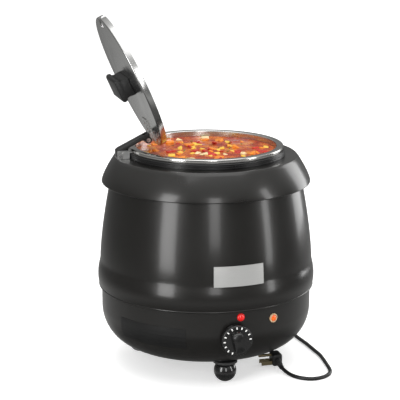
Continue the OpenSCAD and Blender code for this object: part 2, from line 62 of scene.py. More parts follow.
# ---- camera ----
VIEW_AZIMUTH = math.radians(-15.25)
VIEW_ELEVATION = math.radians(13.8)
VIEW_DISTANCE = 2212
LOOK_AT = Vector((-9, 2.4, 261.2))


def place_camera():
    lens = bpy.data.cameras.new("camera")
    lens.lens = 126
    lens.sensor_width = 36
    camera = bpy.data.objects.new("camera", lens)
    bpy.context.scene.collection.objects.link(camera)
    back = Vector((math.sin(VIEW_AZIMUTH) * math.cos(VIEW_ELEVATION),
                   -math.cos(VIEW_AZIMUTH) * math.cos(VIEW_ELEVATION),
                   math.sin(VIEW_ELEVATION)))
    camera.location = (LOOK_AT + back * VIEW_DISTANCE) * MM
    camera.rotation_mode = "QUATERNION"
    camera.rotation_quaternion = (-back).to_track_quat("-Z", "Y")
    bpy.context.scene.camera = camera


place_camera()

# ---- cord ----
CORD_D = 6
COIL_CENTRE = Vector((70, 225, 0))
COIL_OUTER, COIL_INNER = 36, 30
LEAD = [(0, 202, 73), (2, 217, 65), (5, 229, 51), (9, 239, 35), (16, 248, 19), (28, 256, 8), (43, 260, 3),
        (55, 261, 3)]
TAIL = [(85, 261, 9), (99, 259, 6), (114, 254, 4), (128, 245, 3), (140, 233, 3), (149, 219, 3), (156, 203, 3),
        (161, 186, 3), (164, 168, 3), (166, 150, 3), (167, 132, 3), (168, 114, 3), (168, 96, 3), (169, 78, 3),
        (170, 60, 3), (171, 42, 3), (173, 24, 3), (175, 6, 3), (176, -12, 3), (177, -30, 3), (178, -48, 3),
        (177, -66, 3), (175, -84, 3), (173, -100, 3), (171, -114, 3), (167, -128, 3), (158, -140, 3),
        (146, -147, 3), (132, -149, 3), (119, -144, 3), (109, -134, 3), (103, -121, 3), (100, -108, 3.6),
        (98, -96, 5)]


def ease(t, start, end):
    """0 before start, 1 after end, and smooth between them."""
    t = min(max((t - start) / (end - start), 0), 1)
    return t * t * (3 - 2 * t)


def coil_turns():
    """Three turns and a bit: outer and inner on the floor, then inner and outer on top of them."""
    first = math.atan2(LEAD[-1][1] - COIL_CENTRE.y, LEAD[-1][0] - COIL_CENTRE.x)
    last = math.atan2(TAIL[0][1] - COIL_CENTRE.y, TAIL[0][0] - COIL_CENTRE.x) - 3 * math.tau
    turns = (first - last) / math.tau
    count = round(18 * turns)
    points = []
    for i in range(1, count):
        turn = turns * i / count
        angle = first - math.tau * turn
        radius = (COIL_OUTER + 3 - 3 * ease(turn, 0, 0.15)
                  + (COIL_INNER - COIL_OUTER) * (ease(turn, 0.8, 1) - ease(turn, 2.4, 2.6))
                  + 3 * ease(turn, turns - 0.12, turns))
        height = CORD_D / 2 + CORD_D * ease(turn, 1.6, 1.8)
        points.append(COIL_CENTRE + Vector((radius * math.cos(angle), radius * math.sin(angle), height)))
    return points


def cord_line():
    exit_point = Vector((0, highest("cord_gland").y, 75))
    return [exit_point, *map(Vector, LEAD), *coil_turns(), *map(Vector, TAIL)]


def make_cord():
    curve = bpy.data.curves.new("power_cord", "CURVE")
    curve.dimensions = "3D"
    curve.bevel_depth = 1
    curve.bevel_resolution = 4
    curve.resolution_u = 4
    curve.use_fill_caps = True
    points = cord_line()
    spline = curve.splines.new("BEZIER")
    spline.bezier_points.add(len(points) - 1)
    for knot, point in zip(spline.bezier_points, points):
        knot.co = point * MM
        knot.radius = CORD_D / 2 * MM
        knot.handle_left_type = knot.handle_right_type = "AUTO"
    piece = bpy.data.objects.new("power_cord", curve)
    bpy.context.scene.collection.objects.link(piece)
    return piece, spline.calc_length()


power_cord, cord_length = make_cord()
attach(power_cord, "kettle")
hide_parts("cord_lead", "cord_coil", "cord_tail")


# ---- modelling ----
def deselect():
    bpy.ops.object.select_all(action="DESELECT")


def pick(piece):
    """Makes piece the only selected object, and the active one."""
    deselect()
    piece.select_set(True)
    bpy.context.view_layer.objects.active = piece


def edit(piece):
    pick(piece)
    bpy.ops.object.mode_set(mode="EDIT")
    bpy.ops.mesh.select_mode(type="VERT")
    bpy.ops.mesh.select_all(action="SELECT")


def done_editing():
    bpy.ops.mesh.select_all(action="SELECT")
    bpy.ops.mesh.remove_doubles(threshold=0.00001)
    bpy.ops.mesh.normals_make_consistent(inside=False)
    bpy.ops.object.mode_set(mode="OBJECT")


def drawn_line(name, outline):
    """Starts a piece in edit mode as a line through (x, z) points, drawn from one vertex."""
    deselect()
    bpy.ops.mesh.primitive_plane_add(size=0.01)
    piece = bpy.context.object
    piece.name = name
    edit(piece)
    bpy.ops.mesh.merge(type="CENTER")
    bpy.ops.transform.translate(value=(outline[0][0] * MM, 0, outline[0][1] * MM))
    for (x0, z0), (x1, z1) in zip(outline, outline[1:]):
        step = ((x1 - x0) * MM, 0, (z1 - z0) * MM)
        bpy.ops.mesh.extrude_region_move(TRANSFORM_OT_translate={"value": step})
    return piece


def turned(name, outline, steps=192):
    """Spins an outline of (radius, height) points round the Z axis."""
    piece = drawn_line(name, outline)
    bpy.ops.mesh.select_all(action="SELECT")
    bpy.ops.mesh.spin(steps=steps, angle=math.tau, center=(0, 0, 0), axis=(0, 0, 1))
    done_editing()
    return piece


def cut_out(name, outline, depth):
    """A bar with an outline of (x, z) points, depth long, centred on the XZ plane."""
    piece = drawn_line(name, [*outline, outline[0]])
    bpy.ops.mesh.select_all(action="SELECT")
    bpy.ops.mesh.remove_doubles(threshold=0.00001)
    bpy.ops.mesh.edge_face_add()
    bpy.ops.transform.translate(value=(0, -depth / 2 * MM, 0))
    bpy.ops.mesh.extrude_region_move(TRANSFORM_OT_translate={"value": (0, depth * MM, 0)})
    done_editing()
    return piece


def apply_modifier(piece, kind, **settings):
    pick(piece)
    modifier = piece.modifiers.new(kind.lower(), kind)
    for key, value in settings.items():
        setattr(modifier, key, value)
    bpy.ops.object.modifier_apply(modifier=modifier.name)


def round_edges(piece, width, segments=2, angle=30):
    apply_modifier(piece, "BEVEL", width=width * MM, segments=segments, limit_method="ANGLE",
                   angle_limit=math.radians(angle), use_clamp_overlap=True)


def shade(piece, angle=35):
    pick(piece)
    bpy.ops.object.shade_smooth_by_angle(angle=math.radians(angle))


def drill(piece, *cutters):
    """Cuts the cutters out of piece, and deletes them."""
    for cutter in cutters:
        apply_modifier(piece, "BOOLEAN", operation="DIFFERENCE", solver="EXACT", object=cutter)
        bpy.data.objects.remove(cutter)


def place(piece, matrix):
    """Moves a piece by matrix and leaves the place in its mesh."""
    pick(piece)
    piece.matrix_world = matrix
    bpy.ops.object.transform_apply(location=True, rotation=True, scale=True)


def join(first, *others):
    pick(first)
    for other in others:
        other.select_set(True)
    bpy.ops.object.join()
    return first


def turn(degrees, axis):
    return Matrix.Rotation(math.radians(degrees), 4, axis)


def move(x, y, z):
    return Matrix.Translation(Vector((x, y, z)) * MM)


def facing_out(angle, radius, z):
    """Stands a piece that points up its own Z axis on the body's side, angle degrees from the front."""
    return turn(angle, "Z") @ move(0, -radius, z) @ turn(90, "X")


def arc(x, z, radius, start, end, count=6):
    """(x, z) points round a corner."""
    steps = [math.radians(start + (end - start) * i / count) for i in range(count + 1)]
    return [(x + radius * math.cos(a), z + radius * math.sin(a)) for a in steps]


def rod(name, radius, length, sides=32):
    """A round bar up its own Z axis, used as a cutter."""
    deselect()
    bpy.ops.mesh.primitive_cylinder_add(vertices=sides, radius=radius * MM, depth=length * MM)
    piece = bpy.context.object
    piece.name = name
    return piece


# ---- finishes ----
class Value:
    """A node's socket. Arithmetic on it adds Math nodes."""

    def __init__(self, finish, socket):
        self.finish = finish
        self.socket = socket

    def math(self, operation, *others):
        return self.finish.add("ShaderNodeMath", {"operation": operation}, *others)

    def __add__(self, other):
        return self.math("ADD", self, other)

    __radd__ = __add__

    def __mul__(self, other):
        return self.math("MULTIPLY", self, other)

    __rmul__ = __mul__

    def __pow__(self, other):
        return self.math("POWER", self, other)

    def __gt__(self, other):
        return self.math("GREATER_THAN", self, other)


class Finish:
    """A material, made of one Principled shader and the nodes that feed it."""

    def __init__(self, name, **constants):
        self.name = name
        self.material = bpy.data.materials.new(name)
        self.material.use_nodes = True
        self.tree = self.material.node_tree
        self.shader = self.tree.nodes["Principled BSDF"]
        for socket, value in constants.items():
            self.shader.inputs[socket.replace("_", " ")].default_value = value

    def add(self, kind, settings, *inputs, output=0, **named):
        """Adds a node: its settings first, then what its sockets take, in order or by name."""
        node = self.tree.nodes.new(kind)
        for key, value in settings.items():
            if key == "stops":
                self.set_stops(node.color_ramp, value)
            else:
                setattr(node, key, value)
        for key, value in [*enumerate(inputs), *named.items()]:
            socket = node.inputs[key if isinstance(key, int) else key.replace("_", " ")]
            self.feed(socket, value)
        return Value(self, node.outputs[output])

    def set_stops(self, ramp, stops):
        while len(ramp.elements) < len(stops):
            ramp.elements.new(0.5)
        for element, (place_, colour) in zip(ramp.elements, stops):
            element.position = place_
            element.color = (*colour, 1)

    def feed(self, socket, value):
        if isinstance(value, Value):
            self.tree.links.new(value.socket, socket)
        elif value is not None:
            socket.default_value = value

    def surface(self, **values):
        for socket, value in values.items():
            self.feed(self.shader.inputs[socket.replace("_", " ")], value)
        return self

    def here(self):
        return self.add("ShaderNodeTexCoord", {}, output="Object")

    def stretched(self, x, y, z):
        return self.add("ShaderNodeMapping", {}, self.here(), Scale=(x, y, z))

    def noise(self, where, scale, detail=2.0, roughness=0.5):
        return self.add("ShaderNodeTexNoise", {}, Vector=where, Scale=scale, Detail=detail, Roughness=roughness)

    def parts(self, where):
        node = self.add("ShaderNodeSeparateXYZ", {}, where).socket.node
        return [Value(self, output) for output in node.outputs]

    def range(self, value, low, high, to_low, to_high):
        return self.add("ShaderNodeMapRange", {}, value, low, high, to_low, to_high)

    def blend(self, factor, one, other):
        """Mixes two colours."""
        node = self.tree.nodes.new("ShaderNodeMix")
        node.data_type = "RGBA"
        for key, value in ((0, factor), (6, one), (7, other)):
            if isinstance(value, tuple):
                value = (*value, 1)
            self.feed(node.inputs[key], value)
        return Value(self, node.outputs[2])

    def ramp(self, value, *stops):
        return self.add("ShaderNodeValToRGB", {"stops": stops}, value)

    def bump(self, height, strength, distance):
        return self.add("ShaderNodeBump", {}, Strength=strength, Distance=distance * MM, Height=height)

    def ring_distance(self, where):
        """How far a point is from the Z axis, in metres."""
        x, y, _ = self.parts(where)
        return (x * x + y * y) ** 0.5


def body_enamel():
    """Dark metallic enamel: fine flake, a little orange peel and faint hand marks."""
    f = Finish("body_enamel", Coat_Weight=0.45, Coat_Roughness=0.14, Specular_IOR_Level=0.5)
    flake = f.noise(f.here(), 2600, 1)
    cloud = f.noise(f.here(), 9, 3)
    colour = f.blend(flake, (0.005, 0.0048, 0.0045), (0.016, 0.0148, 0.0132))
    colour = f.blend(cloud * 0.25, colour, (0.018, 0.0165, 0.0145))
    peel = f.noise(f.here(), 420, 1)
    return f.surface(Base_Color=colour, Metallic=0.35, Roughness=f.range(cloud, 0.3, 0.7, 0.26, 0.36),
                     Normal=f.bump(peel, 0.035, 0.1))


def turned_steel(name, tint, rough, grain):
    """Steel polished on a lathe: fine rings, soft smears."""
    f = Finish(name, Metallic=1.0)
    where = f.here()
    _, _, z = f.parts(where)
    rings = f.add("ShaderNodeCombineXYZ", {}, 0.0, f.ring_distance(where), z)
    lines = f.noise(rings, grain, 2, 0.7)
    smear = f.noise(where, 14, 3)
    dark = tuple(0.86 * c for c in tint)
    return f.surface(Base_Color=f.blend(lines * 0.6 + smear * 0.4, dark, tint),
                     Roughness=f.range(smear, 0.3, 0.7, rough - 0.05, rough + 0.08),
                     Normal=f.bump(lines, 0.06, 0.05))


def lid_steel():
    """Polished sheet with a straight brushed grain and broad soft smears."""
    f = Finish("lid_steel", Metallic=1.0)
    grain = f.noise(f.stretched(40, 1, 40), 90, 2, 0.7)
    smear = f.noise(f.here(), 11, 3)
    return f.surface(Base_Color=f.blend(grain, (0.46, 0.46, 0.455), (0.62, 0.62, 0.61)),
                     Roughness=f.range(smear, 0.3, 0.7, 0.16, 0.28), Normal=f.bump(grain, 0.05, 0.05))


def plated(name, tint, rough=0.28):
    """Plain plated metal, slightly mottled."""
    f = Finish(name, Metallic=1.0)
    mottle = f.noise(f.here(), 160, 3)
    return f.surface(Base_Color=f.blend(mottle, tuple(0.8 * c for c in tint), tint),
                     Roughness=f.range(mottle, 0.3, 0.7, rough - 0.06, rough + 0.1),
                     Normal=f.bump(f.noise(f.here(), 1500, 1), 0.04, 0.05))


def black_plastic(name, rough, grain_scale, grain_depth, shade_=0.018, coat=0.0):
    """Moulded black plastic or rubber with a fine surface grain and a little dust."""
    f = Finish(name, Specular_IOR_Level=0.5, Coat_Weight=coat, Coat_Roughness=0.08)
    grain = f.noise(f.here(), grain_scale, 2, 0.6)
    dust = f.noise(f.here(), 35, 4, 0.6)
    low, high = (shade_,) * 3, (shade_ * 2.1,) * 3
    return f.surface(Base_Color=f.blend(dust * 0.6, low, high),
                     Roughness=f.range(dust, 0.3, 0.7, rough - 0.06, rough + 0.08),
                     Normal=f.bump(grain, grain_depth, 0.2))


def lens_plastic(name, colour, deep):
    """A tinted lens that glows a little, with soft darker patches."""
    f = Finish(name, Roughness=0.12, Coat_Weight=0.8, Coat_Roughness=0.04, Emission_Strength=0.55)
    depth = f.noise(f.here(), 260, 1)
    tint = f.blend(depth, deep, colour)
    return f.surface(Base_Color=tint, Emission_Color=tint)


def plain_paint(name, colour, rough):
    """Even paint or pale plastic, slightly mottled."""
    f = Finish(name)
    mottle = f.noise(f.here(), 220, 3)
    return f.surface(Base_Color=f.blend(mottle, tuple(0.86 * c for c in colour), colour),
                     Roughness=f.range(mottle, 0.3, 0.7, rough - 0.06, rough + 0.08),
                     Normal=f.bump(f.noise(f.here(), 900, 1), 0.05, 0.05))


def brushed_plate():
    """Light anodised plate with a level brushed grain."""
    f = Finish("brushed_plate", Metallic=0.55)
    grain = f.noise(f.stretched(1, 1, 60), 60, 2, 0.7)
    return f.surface(Base_Color=f.blend(grain, (0.42, 0.42, 0.41), (0.56, 0.56, 0.55)),
                     Roughness=f.range(grain, 0.3, 0.7, 0.3, 0.42), Normal=f.bump(grain, 0.08, 0.05))


def soup_broth():
    """Tomato broth with oily orange pools, darker specks and a wet skin."""
    f = Finish("soup_broth", Coat_Weight=0.15, Coat_Roughness=0.15, Specular_IOR_Level=0.3)
    pools = f.noise(f.here(), 38, 4, 0.62)
    specks = f.noise(f.here(), 210, 3, 0.7)
    broth = f.ramp(pools, (0.3, (0.24, 0.012, 0.002)), (0.45, (0.42, 0.04, 0.003)),
                   (0.56, (0.6, 0.13, 0.006)), (0.68, (0.66, 0.27, 0.02)))
    colour = f.blend((specks > 0.63) * 0.75, broth, (0.3, 0.03, 0.01))
    return f.surface(Base_Color=colour, Roughness=f.range(specks, 0.3, 0.7, 0.16, 0.4),
                     Normal=f.bump(pools + specks * 0.4, 0.45, 1.2))


def food(name, light, dark, rough=0.35):
    """A piece of cooked vegetable: soft mottling under a wet film."""
    f = Finish(name, Coat_Weight=0.15, Coat_Roughness=0.15, Specular_IOR_Level=0.3,
               Subsurface_Weight=0.15, Subsurface_Scale=0.004)
    mottle = f.noise(f.here(), 130, 4, 0.6)
    return f.surface(Base_Color=f.blend(mottle, dark, light),
                     Roughness=f.range(mottle, 0.3, 0.7, rough - 0.1, rough + 0.1),
                     Normal=f.bump(mottle, 0.3, 0.5))


FINISH = {f.name: f.material for f in (
    body_enamel(),
    turned_steel("pot_steel", (0.62, 0.61, 0.59), 0.16, 900),
    turned_steel("pan_steel", (0.66, 0.65, 0.63), 0.32, 600),
    lid_steel(),
    plated("screw_steel", (0.72, 0.72, 0.71)),
    plated("element_steel", (0.36, 0.34, 0.33), 0.42),
    plated("capillary_copper", (0.72, 0.42, 0.26), 0.3),
    plated("contact_brass", (0.3, 0.25, 0.15), 0.4),
    black_plastic("ring_plastic", 0.32, 700, 0.1, 0.007),
    black_plastic("arm_plastic", 0.38, 900, 0.2, 0.007),
    black_plastic("handle_plastic", 0.42, 1400, 0.55, 0.006),
    black_plastic("foot_gloss", 0.16, 600, 0.06, 0.006, 0.6),
    black_plastic("washer_rubber", 0.6, 1100, 0.2, 0.02),
    black_plastic("cord_rubber", 0.42, 1300, 0.2, 0.007),
    black_plastic("knob_plastic", 0.24, 800, 0.08, 0.006, 0.3),
    black_plastic("label_film", 0.36, 900, 0.05, 0.004),
    lens_plastic("red_lens", (0.6, 0.012, 0.01), (0.3, 0.0, 0.0)),
    lens_plastic("orange_lens", (0.75, 0.12, 0.01), (0.5, 0.05, 0.0)),
    plain_paint("lamp_ring_white", (0.5, 0.34, 0.2), 0.35),
    plain_paint("scale_white", (0.88, 0.88, 0.86), 0.4),
    plain_paint("case_grey", (0.42, 0.41, 0.4), 0.45),
    plain_paint("terminal_cream", (0.72, 0.7, 0.62), 0.45),
    brushed_plate(),
    soup_broth(),
    food("carrot_orange", (0.95, 0.36, 0.03), (0.75, 0.16, 0.01)),
    food("corn_yellow", (0.98, 0.7, 0.1), (0.85, 0.42, 0.03)),
    food("pepper_red", (0.7, 0.03, 0.015), (0.35, 0.01, 0.005)),
    food("potato_pale", (0.95, 0.82, 0.5), (0.82, 0.56, 0.24)),
    food("herb_green", (0.14, 0.2, 0.03), (0.05, 0.09, 0.01)),
)}


def dress(piece, finish, body=None, stands_for=()):
    """Gives a piece its finish, its body and the CAD nodes that it stands for."""
    piece.data.materials.clear()
    piece.data.materials.append(FINISH[finish])
    if body:
        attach(piece, body)
    if stands_for:
        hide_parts(*stands_for)
    return piece


def dress_nodes(finish, *nodes):
    for node in nodes:
        piece = frame["nodes"][node]
        for place_ in range(len(piece.material_slots)):
            piece.material_slots[place_].material = FINISH[finish]


power_cord.data.materials.append(FINISH["cord_rubber"])
dress_nodes("pan_steel", "water_pan")
dress_nodes("element_steel", "heating_element", "element_clamp", "clamp_nut")
dress_nodes("screw_steel", "thermostat_screws", "foot_bolts", "hinge_screws", "hinge_pin", "leaf_rivets",
            "handle_screws", "knob_shaft", "hinge_bracket", "lid_hinge_leaf")
dress_nodes("capillary_copper", "thermostat_bulb")
dress_nodes("case_grey", "thermostat")
dress_nodes("terminal_cream", "terminal_block")
dress_nodes("handle_plastic", "red_lamp_holder", "orange_lamp_holder")
dress_nodes("contact_brass", "plug_blades", "plug_ground_pin")
dress_nodes("scale_white", "knob_marks")
dress_nodes("brushed_plate", "name_plate")
dress_nodes("label_film", "info_label")

# ---- body ----
SHEET = 1.4
SEAM_Z = highest("base_bowl").z + 0.2
BASE_R = highest("base_bowl").x
BASE_BOTTOM = lowest("base_bowl").z
CORNER_W, CORNER_H = 54, 60
FLAT_R = BASE_R - CORNER_W
CORNER_Z = BASE_BOTTOM + CORNER_H
BULGE_H, BULGE_OUT, SHELL_TAPER = 38, 3.8, 17
SHELL_TOP = highest("upper_shell").z
LIP_R = highest("collar").x
COLLAR_TOP = highest("collar").z
COLLAR_FLARE = 20
COLLAR_HOLE_R = 112.6
COLLAR_TOP_R = LIP_R - COLLAR_FLARE
KNOB_Z = 86.5


def base_radius(z):
    return FLAT_R + CORNER_W * math.sqrt(max(0, 1 - max(0, (CORNER_Z - z) / CORNER_H) ** 2))


def shell_radius(z):
    up = (z - SEAM_Z) / BULGE_H
    bulge = 0 if up >= 1 else BULGE_OUT * math.sin(math.pi * (0.2 + 0.8 * up)) ** 0.9
    taper = max(0, (z - SEAM_Z - BULGE_H) / (SHELL_TOP - SEAM_Z - BULGE_H)) ** 1.5
    return BASE_R + 2 + bulge - SHELL_TAPER * taper


def sheet_wall(outer, thickness):
    """Closes an outer line of (radius, height) points into a sheet's outline, thickness inside it."""
    inner = []
    for i, (r, z) in enumerate(outer):
        before, after = outer[max(i - 1, 0)], outer[min(i + 1, len(outer) - 1)]
        along = Vector((after[0] - before[0], after[1] - before[1])).normalized()
        inner.append((max(r - along.y * thickness, 0), z + along.x * thickness))
    return [*outer, *reversed(inner), outer[0]]


def base_corner(inset):
    """(radius, height) points up the base's rounded corner, inset from its face."""
    angles = [math.pi / 2 * i / 24 for i in range(25)]
    return [(FLAT_R + (CORNER_W - inset) * math.sin(a), CORNER_Z - (CORNER_H - inset) * math.cos(a))
            for a in angles]


def make_base():
    """The bowl, spun round a disc that closes its middle, with a ring of vents."""
    edge_z = SEAM_Z - 0.2
    hole_r = 12
    base = turned("base_bowl_shell", [(hole_r, BASE_BOTTOM), (60, BASE_BOTTOM), *base_corner(0),
                                      (BASE_R, edge_z), (BASE_R - SHEET, edge_z),
                                      *reversed(base_corner(SHEET)),
                                      (hole_r, BASE_BOTTOM + SHEET), (hole_r, BASE_BOTTOM)])
    plate = rod("base_plate", hole_r + 0.5, SHEET, 64)
    place(plate, move(0, 0, BASE_BOTTOM + SHEET / 2))
    vents = []
    for i in range(12):
        vent = rod("vent", 4, 12)
        place(vent, turn(30 * i + 15, "Z") @ move(0, -40, BASE_BOTTOM))
        vents.append(vent)
    drill(base, join(*vents))
    join(base, plate)
    shade(base)
    return dress(base, "body_enamel", "kettle", ["base_bowl"])


def make_shell():
    """The barrel and the rolled edge that laps the base."""
    count = 40
    heights = [SEAM_Z + (SHELL_TOP - SEAM_Z) * i / count for i in range(count + 1)]
    barrel = turned("shell_barrel", sheet_wall([(shell_radius(z), z) for z in heights], SHEET))
    bead = 1.5
    r = shell_radius(SEAM_Z) - bead + 0.4
    roll = arc(r, SEAM_Z - bead, bead, -80, 80, 8)
    edge = turned("shell_edge", [*roll, *arc(BASE_R + 0.3, SEAM_Z - bead, 0.2, 100, 260, 2), roll[0]])
    shell = join(barrel, edge)
    shade(shell)
    return dress(shell, "body_enamel", "kettle", ["upper_shell"])


def make_collar():
    """The shoulder: flat top, rounded brow, flared side and a rolled lip."""
    count = 24
    side_top = COLLAR_TOP - 1.4
    side_h = side_top - SHELL_TOP - 1.9
    side = [(COLLAR_TOP_R + COLLAR_FLARE * (1 - (1 - i / count) ** 1.3), side_top - side_h * i / count)
            for i in range(1, count + 1)]
    top = [(COLLAR_HOLE_R, COLLAR_TOP), (128, COLLAR_TOP), *arc(COLLAR_TOP_R - 3, COLLAR_TOP - 3, 3, 90, 30, 5)]
    lip = arc(LIP_R - 1.2, SHELL_TOP + 1.6, 1.2, 20, -90, 6)
    under = [(LIP_R - 4, SHELL_TOP + 1), (151, SHELL_TOP + 0.5), (149.8, SHELL_TOP + 0.6),
             (149.8, SHELL_TOP + 1.8), (LIP_R - 4, SHELL_TOP + 2.4)]
    inside = [(r - SHEET, z) for r, z in reversed(side[3:-1])]
    collar = turned("collar_shoulder", [*top, *side, *lip, *under, *inside,
                                        (COLLAR_TOP_R - 4, COLLAR_TOP - SHEET),
                                        (COLLAR_HOLE_R, COLLAR_TOP - SHEET), (COLLAR_HOLE_R, COLLAR_TOP)])
    shade(collar, 40)
    return dress(collar, "body_enamel", "kettle", ["collar"])


def make_neck_ring():
    """Black ring with two round-bottomed grooves."""
    low, high = lowest("neck_ring").z, highest("neck_ring").z
    outer, inner = highest("neck_ring").x, 111.6
    third = (high - low) / 3
    line = [(inner, low), (outer - 0.5, low), (outer, low + 0.5)]
    for z in (low + third, low + 2 * third):
        line += [(outer, z - 1), *arc(outer, z, 0.9, -90, -270, 6)[1:-1], (outer, z + 1)]
    line += [(outer, high - 0.6), (outer - 0.6, high), (inner, high), (inner, low)]
    ring = turned("neck_ring_moulded", line)
    shade(ring)
    return dress(ring, "ring_plastic", "kettle", ["neck_ring"])


make_base()
make_shell()
make_collar()
make_neck_ring()

# ---- feet ----
FOOT_R = 112
BALL_R = 17.65
BALL_TOP = 31


def make_feet():
    """Three glossy balls, each with a rubber washer above it."""
    balls, washers = [], []
    sunk = 0.985
    flat = math.degrees(math.asin(sunk))
    for angle in (0, 120, 240):
        ball = turned("ball", [(0, 0), *arc(0, sunk * BALL_R, BALL_R, -flat, 52, 20),
                               (5.2, BALL_TOP), (0, BALL_TOP)], 96)
        place(ball, turn(angle, "Z") @ move(0, -FOOT_R, 0))
        balls.append(ball)
        washer = turned("washer", [(0, BALL_TOP), (18.2, BALL_TOP), *arc(18.2, 31.8, 0.8, -90, 0, 3),
                                   *arc(18.2, 34.2, 0.8, 0, 90, 3), (0, 35)], 96)
        place(washer, turn(angle, "Z") @ move(0, -FOOT_R, 0))
        washers.append(washer)
    feet, rings = join(*balls), join(*washers)
    feet.name, rings.name = "ball_feet_gloss", "foot_washers_rubber"
    shade(feet)
    shade(rings)
    dress(feet, "foot_gloss", "kettle", ["ball_feet"])
    dress(rings, "washer_rubber", "kettle", ["foot_washers"])


make_feet()

# ---- pot and soup ----
POT_R = 110
RIM_Z = highest("insert_pot").z
RIM_R = highest("insert_pot").x
POT_BOTTOM = lowest("insert_pot").z
SOUP_Z = 341
SCATTER_R = 98


def make_pot():
    """Drawn pot: rounded bottom corner, straight wall, flat rim with a turned-down edge."""
    c = 14
    wall = [(0, POT_BOTTOM), (60, POT_BOTTOM), *arc(POT_R + 1 - c, POT_BOTTOM + c, c, -90, 0, 8),
            (POT_R + 1, RIM_Z - 1.6), (RIM_R - 1.4, RIM_Z - 1.6), (RIM_R - 1.4, RIM_Z - 6.2)]
    edge = [*arc(RIM_R - 0.7, RIM_Z - 5.7, 0.7, -180, 0, 4), *arc(RIM_R - 1.8, RIM_Z - 1.8, 1.8, 0, 90, 6),
            *arc(POT_R + 1.8, RIM_Z - 1.8, 1.8, 90, 180, 6)]
    inside = [(POT_R, 260), *arc(POT_R + 1 - c, POT_BOTTOM + c, c - 1, 0, -90, 8), (60, POT_BOTTOM + 1),
              (0, POT_BOTTOM + 1)]
    pot = turned("pot_drawn", [*wall, *edge, *inside])
    shade(pot)
    return dress(pot, "pot_steel", "pot", ["insert_pot"])


def surface_height(x, y):
    """How far the soup's skin stands above its level, in millimetres."""
    at = Vector((x, y, 0))
    return 1.4 * noise.fractal(at / 26, 1, 2, 3) + 0.5 * noise.noise(at / 7)


def make_soup():
    """A closed body of broth that fills the pot, with an uneven skin."""
    edge = POT_R - 0.4
    rings = [(edge * (1 - i / 40), SOUP_Z) for i in range(41)]
    soup = turned("soup_broth_fill", [(0, POT_BOTTOM + 1.5), (94, POT_BOTTOM + 1.5),
                                      (edge - 2, POT_BOTTOM + 17), (edge, 140), (edge, SOUP_Z - 2), *rings], 160)
    for vertex in soup.data.vertices:
        x, y, z = vertex.co / MM
        if z > SOUP_Z - 1:
            rim = ease(math.hypot(x, y), edge - 7, edge)
            vertex.co.z += (surface_height(x, y) * (1 - rim) + 1.2 * rim) * MM
    shade(soup, 60)
    return dress(soup, "soup_broth", "pot")


def make_food(name, finish, shape, count, size, seed, lift):
    """Scatters copies of one soft-cornered lump over the soup's skin, out to SCATTER_R."""
    dice = random.Random(seed)
    deselect()
    bpy.ops.mesh.primitive_cube_add(size=MM)
    lump = bpy.context.object
    place(lump, Matrix.Diagonal((*shape, 1)))
    round_edges(lump, 0.28 * min(shape), 2, 20)
    lumps = []
    for _ in range(count):
        radius = SCATTER_R * math.sqrt(dice.random())
        angle = dice.uniform(0, math.tau)
        x, y = radius * math.cos(angle), radius * math.sin(angle)
        copy = lump.copy()
        copy.data = lump.data.copy()
        bpy.context.scene.collection.objects.link(copy)
        for vertex in copy.data.vertices:
            vertex.co += 0.12 * min(shape) * MM * noise.noise_vector(vertex.co / MM / 4 + Vector((x, y, 0)))
        grow = size * dice.uniform(0.7, 1.25)
        place(copy, move(x, y, SOUP_Z + surface_height(x, y) + lift) @ turn(dice.uniform(0, 360), "Z")
              @ turn(dice.gauss(0, 14), "X") @ turn(dice.gauss(0, 14), "Y") @ Matrix.Scale(grow, 4))
        lumps.append(copy)
    bpy.data.objects.remove(lump)
    scatter = join(*lumps)
    scatter.name = name
    shade(scatter, 50)
    return dress(scatter, finish, "pot")


make_pot()
make_soup()
make_food("soup_carrots", "carrot_orange", (12, 9, 6), 22, 1.0, 3, -1.4)
make_food("soup_corn", "corn_yellow", (9, 7, 4), 26, 1.0, 11, -0.8)
make_food("soup_peppers", "pepper_red", (15, 6, 3), 20, 1.0, 5, -0.2)
make_food("soup_potatoes", "potato_pale", (13, 10, 7), 9, 1.0, 8, -2.2)
make_food("soup_herbs", "herb_green", (6, 2, 0.8), 30, 0.8, 21, 0.5)

# ---- lid ----
LID_HINGE = next(joint for joint in frame["record"]["behaviour"]["joints"] if joint["name"] == "lid_hinge")
PIVOT = Vector(LID_HINGE["pos_m"]) / MM
LID_OPEN = 114
LID_R = 108.5
LID_SHEET = 1.0
NOTCH_DEPTH, NOTCH_WIDTH = 16, 19
HANDLE_LENGTH = 66
LID_LOW = RIM_Z - 6.6
LID_TOP = LID_LOW + 9.5
LID_CROWN = LID_TOP + 1.5
OPENED = (Matrix.Translation(PIVOT * MM) @ turn(-LID_OPEN, "Y") @ Matrix.Translation(-PIVOT * MM))


def make_lid():
    """Pressed lid: turned-down skirt, a rounded shoulder, a low raised centre and the ladle notch."""
    shoulder = 2.2
    outer = [(LID_R, LID_LOW), (LID_R, LID_TOP - shoulder),
             *arc(LID_R - shoulder, LID_TOP - shoulder, shoulder, 15, 90, 5), (64, LID_TOP),
             (58, LID_TOP + 0.3), (46, LID_CROWN - 0.2), (42, LID_CROWN), (0, LID_CROWN)]
    lid = turned("lid_pressed", sheet_wall(outer, LID_SHEET))
    deselect()
    bpy.ops.mesh.primitive_cube_add(size=MM)
    notch = bpy.context.object
    place(notch, move(LID_R - NOTCH_DEPTH + 15, 0, LID_TOP) @ Matrix.Diagonal((30, NOTCH_WIDTH, 40, 1)))
    round_edges(notch, 3, 3)
    drill(lid, notch)
    shade(lid)
    place(lid, OPENED)
    return dress(lid, "lid_steel", "lid", ["lid_shell"])


